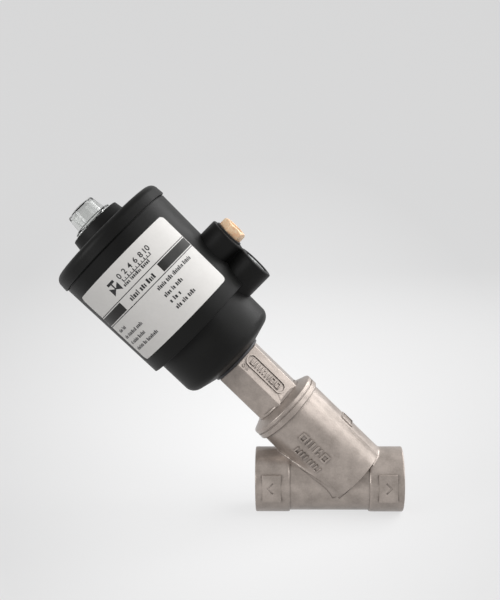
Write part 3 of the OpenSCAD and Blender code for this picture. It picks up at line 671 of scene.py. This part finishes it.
flange = [(0, 57.1), (18.95, 57.1), (18.95, SEAM), (24.1, SEAM), (24.1, SEAM + 0.3)]
flange += [(24.8, SEAM + 0.5), (24.8, 71.2), *arc(23.9, 71.2, 0.9, 0, 70, 5)]
flange += [(17.4, 74.9), *arc(18.2, 76.6, 1.6, 245, 190, 4), (15.4, 76.4), (13, 76.4)]
flange += [(13, 130.1), (0, 130.1)]
bonnet = turn("bonnet_casting", flange)
combine(bonnet, neck, "UNION")
hole = turn("hole", [(0, 50), (5.1, 50), (5.1, 60.6), (9.5, 60.6), (9.5, 140), (0, 140)], 96)
combine(bonnet, hole)
print("bonnet faces:", len(bonnet.data.polygons))


# %% [markdown]
# One flat of the neck carries a long oval outline, cast proud of the metal,
# with a row of small raised marks in it. The oval starts as a circle: one
# half of its points is moved away to stretch it, and the edge is extruded
# twice, once outwards for its width and once up for its height.

# %% The oval and the marks on the neck
def oval(name, half_length, radius, width, height):
    choose()
    bpy.ops.mesh.primitive_circle_add(vertices=48, radius=radius)
    piece = bpy.context.object
    piece.name = name
    for side in (-1, 1):
        pick(piece, "VERT", lambda v: side * v.co.y > -0.01 * side)
        bpy.ops.transform.translate(value=(0, side * (half_length - radius), 0))
    bpy.ops.mesh.select_all(action="SELECT")
    bpy.ops.mesh.extrude_edges_move()
    grow_x = (radius + width) / radius
    grow_y = (half_length + width) / half_length
    bpy.ops.transform.resize(value=(grow_x, grow_y, 1), center_override=(0, 0, 0))
    bpy.ops.mesh.select_all(action="SELECT")
    bpy.ops.mesh.extrude_region_move(TRANSFORM_OT_translate={"value": (0, 0, height)})
    bpy.ops.mesh.select_all(action="SELECT")
    bpy.ops.mesh.normals_make_consistent(inside=False)
    bpy.ops.object.mode_set(mode="OBJECT")
    return piece


badge = oval("oval", 15.4, 3.5, 0.6, 0.95)
OVAL_ROW = [(10.6, SQUARE), (6.4, PAIR), (2.3, DOTTED), (-1.9, PAIR), (-6.2, RING), (-10.6, RING)]
neck_marks = glyph_marks(0, 0.74, OVAL_ROW, 1.5)
neck_marks += glyph_marks(-6.0, 0.4, [(14.0, RING), (11.2, PAIR)], 1.0)
row = settle(join(*neck_marks), Matrix.Rotation(math.radians(-90), 4, "X"))
badge = join(badge, row)
facet = Matrix.Rotation(math.radians(FACET_TURN), 4, "Z") @ Matrix.Translation((0, -15.72, 94.7))
settle(badge, facet @ Matrix.Rotation(math.radians(90), 4, "X"))
bonnet = join(bonnet, badge)
bonnet.name = "bonnet_casting"
settle(bonnet, ON_BRANCH)
shade(bonnet, cast, 35)
hand_over(bonnet, "valve", "cast_stainless", "bonnet")

# %% [markdown]
# The actuator's housing is moulded: a cylinder that widens slightly to the
# lid, a narrower rounded foot, and two bosses for the air ports. Its outline is
# spun, the bosses are fused on, and the same remesh and smoothing as for the
# casting give the soft joins of a moulding.

# %% Mould the housing
FOOT, LIP, LID_SEAM = 113.8, 145.2, 220.0
BOSS_R, BOSS_FACE = 12.6, 54.4
NYLON_CELL = 0.45


def cylinder_r(height):
    return 41.3 + 1.3 * (height - LIP) / (LID_SEAM - LIP)


def shell_points(inset):
    points = [(0, FOOT), (18.5, FOOT), *arc(28.5 - inset, FOOT + 10.2, 7, -68, -2, 10)]
    points += [(35.7 - inset, LIP + inset), (41.0 - inset, LIP + inset)]
    points += arc(40.9 - inset, LIP + 0.4 + inset, 0.4, -90, 0, 3)
    return points + [(cylinder_r(LID_SEAM + 3) - inset, LID_SEAM + 3), (0, LID_SEAM + 3)]


INSET = 0.07
soft = turn("soft_bosses", shell_points(INSET), 128)
room = block("room", (45, 0, 160), (50, 40, 58))
combine(soft, room, "INTERSECT")
for height in (LOWER_PORT, UPPER_PORT):
    corner = arc(BOSS_R - 0.9, BOSS_FACE - 0.9, 0.9, 0, 90, 4)
    profile = [(0, 25), (BOSS_R, 25), *corner, (0, BOSS_FACE)]
    boss = turn("boss", profile, 96)
    settle(boss, port_mm(height))
    combine(soft, boss, "UNION")
modify(soft, "REMESH", mode="VOXEL", voxel_size=NYLON_CELL)
modify(soft, "SMOOTH", factor=0.5, iterations=7)
print("boss faces:", len(soft.data.polygons))
housing = turn("housing", shell_points(0), 160)
combine(housing, soft, "UNION", "MANIFOLD")
print("housing faces:", len(housing.data.polygons))

# %% [markdown]
# The inside is one turned cutter: the hole for the neck, the chamber under the
# piston, the bore and the lid's thread. Each port gets a stepped pocket for
# its insert.

# %% Hollow the housing and sink the port pockets
hollow = [(0, 100), (13.05, 100), (13.05, 119), (27.6, 119), (31, 122.4), (31, 146.7)]
hollow += [(35, 146.7), (35, 206), (37.2, 206), (37.2, LID_SEAM), (60, LID_SEAM)]
hollow += [(60, 240), (0, 240)]
combine(housing, turn("hollow", hollow, 128), "DIFFERENCE", "MANIFOLD")
pocket = [(0, 26.3), (2.5, 26.3), (2.5, 41.6), (8.5, 41.6), (8.5, 53.9), (9.0, 54.3)]
pocket += [(9.0, 60), (0, 60)]
for height in (LOWER_PORT, UPPER_PORT):
    tool = settle(turn("pocket", pocket, 72), port_mm(height))
    combine(housing, tool, "DIFFERENCE", "MANIFOLD")
housing.name = "actuator_shell"
settle(housing, ON_BRANCH)
shade(housing, nylon, 35)
hand_over(housing, "actuator", "black_plastic", "actuator_housing")

# %% [markdown]
# The lid is a plain round moulding with a rounded edge and a round boss that
# takes the dome, so it is one outline on the lathe. Its lower edge stops short
# of the housing, which leaves the dark line that is seen between the two.

# %% Turn the lid
LID_R, LID_TOP, BOSS_TOP = 43.8, 231.0, 239.0
lid_points = [(37.15, 208), (37.15, 213.9), (34.75, 213.9), (34.75, 216.4), (37.15, 216.4)]
lid_points += [(37.15, LID_SEAM), (40.8, LID_SEAM), (40.8, LID_SEAM + 0.95)]
lid_points += [(LID_R - 0.3, LID_SEAM + 0.95), (LID_R, LID_SEAM + 1.25)]
lid_points += [*arc(LID_R - 5.3, LID_TOP - 5, 4.97, 0, 90, 12), (20.6, LID_TOP)]
lid_points += [(20.5, LID_TOP + 0.4), (19.4, LID_TOP + 0.6)]
lid_points += arc(17.5, BOSS_TOP - 0.9, 0.9, 8, 90, 6)
lid_points += [(12.4, BOSS_TOP), (12.4, 237.8), (10.9, 237.8), (10.95, 232.5), (7.1, 232.5)]
lid_points += [(7.1, 226.6), (3.05, 226.6), (3.05, 212), (9.5, 212), (12.5, 220.5)]
lid_points += [(12.5, 223.5), (34.55, 223.5), (34.55, 208), (37.15, 208)]
lid = turn("actuator_lid", lid_points, 160)
settle(lid, ON_BRANCH)
shade(lid, nylon, 30)
hand_over(lid, "actuator", "black_plastic", "lid")

# %% [markdown]
# The dome is clear plastic with a wall, a crowned top and a knurled flange for
# the fingers. The flange's rim is spun in short steps, and every second face
# of it is pushed out, which leaves the knurl's small teeth.

# %% Turn the clear dome
DOME_FOOT, DOME_TOP = 241.4, 253.4
dome_points = [(8.8, 232.8), (10.9, 232.8), (10.9, BOSS_TOP), (13.7, BOSS_TOP), (14.0, 239.3)]
dome_points += [(14.0, 241.0), (13.6, DOME_FOOT), (11.9, DOME_FOOT), (11.4, DOME_FOOT + 0.4)]
dome_points += [(10.3, 250.3)]
dome_points += [*arc(8.9, 250.9, 1.3, 0, 55, 5), *arc(0, DOME_TOP - 28, 28, 73, 90, 6)]
dome_points += [*arc(0, DOME_TOP - 29.4, 28, 90, 75, 5), (8.8, 249.6), (8.8, 232.8)]
dome = turn("clear_dome", dome_points, 144)
choose(dome)


def on_knurl(face):
    angle = math.degrees(math.atan2(face.center.y, face.center.x)) % 7.5
    outer = math.hypot(face.center.x, face.center.y) > 13.9
    return outer and angle < 5 and 239.4 < face.center.z < 240.9


pick(dome, "FACE", on_knurl)
bpy.ops.mesh.extrude_faces_move(TRANSFORM_OT_shrink_fatten={"value": 0.25})
bpy.ops.mesh.select_mode(type="VERT")
bpy.ops.object.mode_set(mode="OBJECT")
settle(dome, ON_BRANCH)
shade(dome, clear, 28)
hand_over(dome, "actuator", "clear_plastic", "indicator_dome")

# %% [markdown]
# A hexagonal bronze plug with a sintered disc closes the upper port: it is
# the silencer. The lower port shows its threaded insert.

# %% The silencer and the inserts
choose()
bpy.ops.mesh.primitive_cylinder_add(vertices=6, radius=7.7 / math.cos(math.radians(30)), depth=6)
hexagon = bpy.context.object
hexagon.name = "silencer_plug"
bpy.ops.object.mode_set(mode="EDIT")
bpy.ops.mesh.select_all(action="SELECT")
bpy.ops.transform.translate(value=(0, 0, 58.4))
bpy.ops.mesh.bevel(offset=0.35, segments=2, affect="EDGES")
bpy.ops.object.mode_set(mode="OBJECT")
settle(hexagon, Matrix.Rotation(math.radians(-20), 4, "Z"))
cone = [(0, 50), (8.85, 50), (8.85, 59.4), *arc(6.5, 58.9, 2.5, 15, 82, 6), (0, 61.4)]
combine(hexagon, turn("cone", cone, 96), "INTERSECT")
combine(hexagon, rod("shank", 5.65, 46.4, 57, 72), "UNION")
bore = [(0, 40), (3.7, 40), (3.7, 58.4), (5.2, 58.4), (5.2, 61.0), (5.6, 61.5), (5.6, 70), (0, 70)]
combine(hexagon, turn("bore", bore, 72))
settle(hexagon, out_of_port(UPPER_PORT))
shade(hexagon, bronze, 30)
hand_over(hexagon, "actuator", "bronze", "silencer_body")

INSERT = [(6.6, 41.6), (8.45, 41.6), (8.45, 53.2), (8.05, 53.6), (7.0, 53.6), (6.6, 53.1)]
INSERT += [(6.6, 41.6)]
PORT_PITCH = 1.337
for name, height in (("lower_insert", LOWER_PORT), ("upper_insert", UPPER_PORT)):
    insert = turn(name, INSERT, 72)
    coil = wind_thread("coil", 6.6, 5.75, PORT_PITCH, 42, 8, 48)
    insert = join(insert, coil)
    insert.name = name
    settle(insert, out_of_port(height))
    shade(insert, insert_steel, 30)
    hand_over(insert, "actuator", "insert_metal", f"{name[:5]}_port_insert")

# %% [markdown]
# The label is a printed film, wrapped round the front of the cylinder. It is
# laid out flat, in millimetres of arc and height, cut into strips that can
# bend, and then wrapped onto the tapered cylinder. Flat sheets have to be cut
# before they are thickened, or their middles stay straight and sink in.

# %% Lay out the label film
LABEL_HALF, LABEL_LOW, LABEL_HIGH = 42.6, 155.2, 210.8
FILM_UNDER, PRINT_UNDER = 0.06, 0.42
FILM, PRINT = 0.36, 0.05
STRIP = 1.8


def strip_cuts(piece, half_width):
    choose(piece)
    bpy.ops.object.mode_set(mode="EDIT")
    count = int(half_width / STRIP)
    for index in range(-count, count + 1):
        bpy.ops.mesh.select_all(action="SELECT")
        bpy.ops.mesh.bisect(plane_co=(index * STRIP, 0, 0), plane_no=(1, 0, 0))
    bpy.ops.object.mode_set(mode="OBJECT")


def thicken(piece, amount):
    choose(piece)
    bpy.ops.object.mode_set(mode="EDIT")
    bpy.ops.mesh.select_all(action="SELECT")
    bpy.ops.mesh.extrude_region_move(TRANSFORM_OT_translate={"value": (0, -amount, 0)})
    bpy.ops.mesh.select_all(action="SELECT")
    bpy.ops.mesh.normals_make_consistent(inside=False)
    bpy.ops.object.mode_set(mode="OBJECT")


def wrap(piece, proud):
    bend(piece, lambda z: cylinder_r(z) + proud, ON_BRANCH)


choose()
bpy.ops.mesh.primitive_plane_add(size=1, rotation=(math.pi / 2, 0, 0))
label = bpy.context.object
label.name = "label_sheet"
bpy.ops.object.transform_apply(location=True, rotation=True, scale=True)
bpy.ops.object.mode_set(mode="EDIT")
bpy.ops.mesh.select_all(action="SELECT")
bpy.ops.transform.resize(value=(2 * LABEL_HALF, 1, LABEL_HIGH - LABEL_LOW))
bpy.ops.transform.translate(value=(0, 0, (LABEL_HIGH + LABEL_LOW) / 2))
bpy.ops.mesh.bevel(offset=3.2, segments=7, affect="VERTICES")
bpy.ops.object.mode_set(mode="OBJECT")
strip_cuts(label, LABEL_HALF)
thicken(label, FILM)
wrap(label, FILM_UNDER)
shade(label, film, 40)
hand_over(label, "actuator", "label_film", "label")

# %% [markdown]
# The printing is a thinner film over the label, made of flat patches: a
# rectangle, or a circle of few corners where a triangle is wanted. Where a
# maker prints words, there are only rows of short bars.


# %% Print patches on the film
def patch(x, z, width, height, corners=4, turned_by=0.0):
    if corners == 4:
        bpy.ops.mesh.primitive_plane_add(size=1, location=(x, 0, z), rotation=(math.pi / 2, 0, 0))
    else:
        bpy.ops.mesh.primitive_circle_add(
            vertices=corners, radius=0.5, fill_type="NGON",
            location=(x, 0, z), rotation=(math.pi / 2, turned_by, 0))
    bpy.ops.transform.resize(value=(width, 1, height), center_override=(x, 0, z))


def printed(name, patches):
    choose()
    bpy.ops.mesh.primitive_plane_add(size=1)
    piece = bpy.context.object
    piece.name = name
    bpy.ops.object.mode_set(mode="EDIT")
    bpy.ops.mesh.delete(type="VERT")
    for one in patches:
        bpy.ops.mesh.select_all(action="DESELECT")
        patch(*one)
    strip_cuts(piece, LABEL_HALF)
    thicken(piece, PRINT)
    return piece


LETTER_WIDTHS = (0.85, 0.6, 1.0, 0.75, 0.5, 0.9)
LETTER_HEIGHTS = (0.72, 1.0, 0.72, 0.72, 1.0, 0.72, 0.86)


def word_bars(x, z, height, words, scale=1.0):
    bars = []
    count = 0
    for letters in words:
        for _ in range(letters):
            width = LETTER_WIDTHS[count % 6] * scale
            tall = LETTER_HEIGHTS[count % 7] * height
            bars.append((x + width / 2, z + tall / 2, width, tall))
            x += width + 0.42 * scale
            count += 1
        x += 0.9 * scale
    return bars


print("bars in a word of four:", len(word_bars(0, 0, 1, [4])))

# %% [markdown]
# A dark band runs round the label, between two lines, and leaves a window in
# its middle for the largest row of bars.

# %% Print the band
BAND_AT, BAND_H = 188.7, 6.3
WINDOW_LEFT, WINDOW_RIGHT = -18.2, 15.6
band = printed("label_band", [
    ((-LABEL_HALF + WINDOW_LEFT) / 2, BAND_AT, LABEL_HALF + WINDOW_LEFT, BAND_H),
    ((LABEL_HALF + WINDOW_RIGHT) / 2, BAND_AT, LABEL_HALF - WINDOW_RIGHT, BAND_H),
])
wrap(band, PRINT_UNDER)
shade(band, band_ink, 40)
hand_over(band, "actuator", "label_film")

# %% [markdown]
# Above the band stand a plain scale and the standard sign for a valve with an
# actuator: two triangles that meet, a stem and a bar. Each row of bars is given
# by its start, its height and the number of bars in each word.

# %% Print the lines, the rows, the scale and the sign
LINE = 0.5
ROWS = [
    (-7.5, 195.9, 2.2, [4, 7, 5], 1.05), (-11.2, 186.9, 3.4, [5, 3, 4], 1.35),
    (5.2, 179.7, 2.7, [6, 4, 8, 6], 0.95), (5.2, 173.9, 2.7, [4, 2, 4], 1.1),
    (5.2, 169.1, 2.7, [1, 2, 1], 1.3), (5.2, 164.0, 2.8, [3, 3, 4], 1.15),
    (-39.2, 178.2, 2.4, [4, 3], 1.0), (-39.2, 172.9, 2.4, [3, 9, 5], 1.0),
    (-39.2, 167.9, 2.4, [2, 6, 6], 1.0), (-39.2, 162.8, 2.4, [8, 3, 9], 1.0),
]
SCALE_AT, TICK_STEP = -5.6, 2.3
lines = [(0, 192.75, 2 * LABEL_HALF, LINE), (0, 184.65, 2 * LABEL_HALF, LINE)]
words = [bar for row in ROWS for bar in word_bars(*row)]
ticks = []
for index in range(11):
    width, tall = (0.4, 1.3) if index % 2 else (0.65, 1.9)
    ticks.append((SCALE_AT + TICK_STEP * index, 199.6, width, tall))
ticks.append((5.9, 198.7, 23.65, 0.45))
symbol = [
    (-15.55, 198.9, 5.4, 6.6, 3, math.pi / 2), (-10.5, 198.9, 5.4, 6.6, 3, -math.pi / 2),
    (-13.02, 201.2, 0.9, 4.6), (-13.02, 203.7, 5.6, 1.7),
]
print_work = printed("label_print", lines + words + ticks + symbol)
print("printed patches:", len(lines + words + ticks + symbol))

# %% [markdown]
# The figures are Text objects turned into mesh. One stands over every second
# tick. Then all the printing is joined and wrapped as one piece.

# %% Number the scale and wrap the printing
digits = []
for index, figure in enumerate(("0", "2", "4", "6", "8", "10")):
    choose()
    bpy.ops.object.text_add(rotation=(math.pi / 2, 0, 0))
    digit = bpy.context.object
    digit.data.body = figure
    digit.data.size = 5.0
    digit.data.align_x = "CENTER"
    digit.data.offset = 0.09
    bpy.ops.object.convert(target="MESH")
    digit = bpy.context.object
    settle(digit, Matrix.Translation((SCALE_AT + 4.6 * index, 0, 201.3)))
    thicken(digit, PRINT)
    digits.append(digit)
print_work = join(print_work, *digits)
print_work.name = "label_print"
wrap(print_work, PRINT_UNDER)
shade(print_work, ink, 40)
hand_over(print_work, "actuator", "label_film")

# %% [markdown]
# The closing springs sit between the piston and the lid. Each of them gets its
# own copy of its mesh.

# %% Give the springs their own meshes
for name in ("outer_spring", "inner_spring"):
    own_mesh(nodes[name])

# %% [markdown]
# The valve stands on a pale floor that sweeps up into a pale backdrop. One
# plane is made, and its far edge is extruded up; a bevel turns the corner into
# a sweep.

# %% Floor and backdrop
choose()
bpy.ops.mesh.primitive_plane_add(size=1)
floor = bpy.context.object
floor.name = "floor"
bpy.ops.object.mode_set(mode="EDIT")
bpy.ops.mesh.select_all(action="SELECT")
bpy.ops.transform.resize(value=(8, 5, 1))
bpy.ops.transform.translate(value=(0, 0, -0.0212))
bpy.ops.object.mode_set(mode="OBJECT")
pick(floor, "VERT", lambda v: v.co.y > 1)
bpy.ops.mesh.extrude_region_move(TRANSFORM_OT_translate={"value": (0, 0, 3)})
bpy.ops.object.mode_set(mode="OBJECT")
modify(floor, "BEVEL", width=1.2, segments=24, limit_method="ANGLE")
bpy.ops.object.shade_smooth()
print("floor faces:", len(floor.data.polygons))

# %% [markdown]
# The paper carries a painted pool of light: it is brightest in the middle of
# the picture and fades outwards. So the paper glows by the angle between one
# fixed direction and the line from the camera's stand to each point, and a
# diffuse share takes the shadow. Only rays from the camera, mirrored rays and
# refracted rays see that. All other rays meet a plain dim paper, so that it
# doesn't light the valve from below.

# %% The studio paper
STAND = Vector((-0.07262, -0.65325, 0.21578))
paper = bpy.data.materials.new("studio_paper")
paper.use_nodes = True
tree = paper.node_tree
link = tree.links.new
output = tree.nodes["Material Output"]
bounce = tree.nodes["Principled BSDF"]
bounce.inputs["Base Color"].default_value = (0.15, 0.15, 0.15, 1)
bounce.inputs["Roughness"].default_value = 0.9
shadowed = tree.nodes.new("ShaderNodeBsdfDiffuse")
shadowed.inputs["Color"].default_value = (0.2, 0.2, 0.2, 1)
# Painted light: this emission paints the pool of light on the paper.
glow = tree.nodes.new("ShaderNodeEmission")
place = tree.nodes.new("ShaderNodeTexCoord")
outward = tree.nodes.new("ShaderNodeVectorMath")
outward.operation = "SUBTRACT"
outward.inputs[1].default_value = STAND
heading = tree.nodes.new("ShaderNodeVectorMath")
heading.operation = "NORMALIZE"
along_axis = tree.nodes.new("ShaderNodeVectorMath")
along_axis.operation = "DOT_PRODUCT"
along_axis.inputs[1].default_value = Vector((-0.0379, 0.962, -0.2695)).normalized()
off_axis = tree.nodes.new("ShaderNodeMath")
off_axis.operation = "ARCCOSINE"
reach = tree.nodes.new("ShaderNodeMapRange")
reach.inputs["From Max"].default_value = 0.26
ramp = tree.nodes.new("ShaderNodeValToRGB")
ramp.color_ramp.elements[0].color = (0.77, 0.77, 0.772, 1)
ramp.color_ramp.elements[1].color = (0.585, 0.585, 0.587, 1)
seen = tree.nodes.new("ShaderNodeAddShader")
paths = tree.nodes.new("ShaderNodeLightPath")
direct = tree.nodes.new("ShaderNodeMath")
direct.operation = "MAXIMUM"
any_path = tree.nodes.new("ShaderNodeMath")
any_path.operation = "MAXIMUM"
mix = tree.nodes.new("ShaderNodeMixShader")
link(place.outputs["Object"], outward.inputs[0])
link(outward.outputs["Vector"], heading.inputs[0])
link(heading.outputs["Vector"], along_axis.inputs[0])
link(along_axis.outputs["Value"], off_axis.inputs[0])
link(off_axis.outputs["Value"], reach.inputs["Value"])
link(reach.outputs["Result"], ramp.inputs["Fac"])
link(ramp.outputs["Color"], glow.inputs["Color"])
link(glow.outputs["Emission"], seen.inputs[0])
link(shadowed.outputs["BSDF"], seen.inputs[1])
link(paths.outputs["Is Camera Ray"], direct.inputs[0])
link(paths.outputs["Is Glossy Ray"], direct.inputs[1])
link(direct.outputs["Value"], any_path.inputs[0])
link(paths.outputs["Is Transmission Ray"], any_path.inputs[1])
link(any_path.outputs["Value"], mix.inputs["Fac"])
link(bounce.outputs["BSDF"], mix.inputs[1])
link(seen.outputs["Shader"], mix.inputs[2])
link(mix.outputs["Shader"], output.inputs["Surface"])
floor.data.materials.append(paper)
floor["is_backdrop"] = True
print("paper on:", floor.name)


# %% [markdown]
# The light is soft and plain: four square lamps on the right, from front to
# back and from low to high, one low lamp on the left, and an even white sky.

# %% Lamps and sky
LAMP_AIM = Vector((-0.08, 0, 0.08))
LAMP_AWAY, LAMP_SIDE = 1.2, 0.6


def lamp(name, direction, power):
    data = bpy.data.lights.new(name, "AREA")
    data.shape = "SQUARE"
    data.size = LAMP_SIDE
    data.energy = power
    lamp_object = bpy.data.objects.new(name, data)
    bpy.context.scene.collection.objects.link(lamp_object)
    aim = Vector(direction).normalized()
    lamp_object.location = LAMP_AIM + aim * LAMP_AWAY
    lamp_object.rotation_euler = (-aim).to_track_quat("-Z", "Y").to_euler()


lamp("right_front", (0.65, -0.52, 0.55), 3.2)
lamp("right_high", (0.76, 0.04, 0.65), 3.9)
lamp("right_back", (0.6, 0.5, 0.6), 5.0)
lamp("right_low", (1, 0, 0.15), 3.6)
lamp("left_front", (-0.75, -0.65, 0.15), 5.4)

world = bpy.data.worlds.new("studio_sky")
bpy.context.scene.world = world
world.use_nodes = True
sky = world.node_tree.nodes["Background"]
sky.inputs["Color"].default_value = (1, 1, 1, 1)
sky.inputs["Strength"].default_value = 0.5
print("lamps:", len(bpy.data.lights))

# %% [markdown]
# The camera stands where the photographer stood: nearly square on, higher than
# the pipe, and looking down by eight and a half degrees. Its three directions
# come from matching the edges of the real valve, and its lens from the same
# match.

# %% The camera
camera_data = bpy.data.cameras.new("photo_camera")
camera = bpy.data.objects.new("photo_camera", camera_data)
bpy.context.scene.collection.objects.link(camera)
camera_data.sensor_width = 36
camera_data.lens = 61.97
camera_data.clip_start = 0.01
camera_data.clip_end = 20
right_way = Vector((0.9993, 0.0370, -0.0110)).normalized()
view_way = Vector((-0.0382, 0.9884, -0.1471)).normalized()
up_way = right_way.cross(view_way)
turned = Matrix((right_way, up_way, -view_way)).transposed()
camera.matrix_world = Matrix.Translation(STAND) @ turned.to_4x4()
bpy.context.scene.camera = camera
bpy.context.scene.view_settings.view_transform = "Standard"
print("camera at", [round(x, 3) for x in camera.location])

# %% Measure the visual box
low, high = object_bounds()
print("visual box in mm:", [round(1000 * x, 1) for x in (*low, *high)])
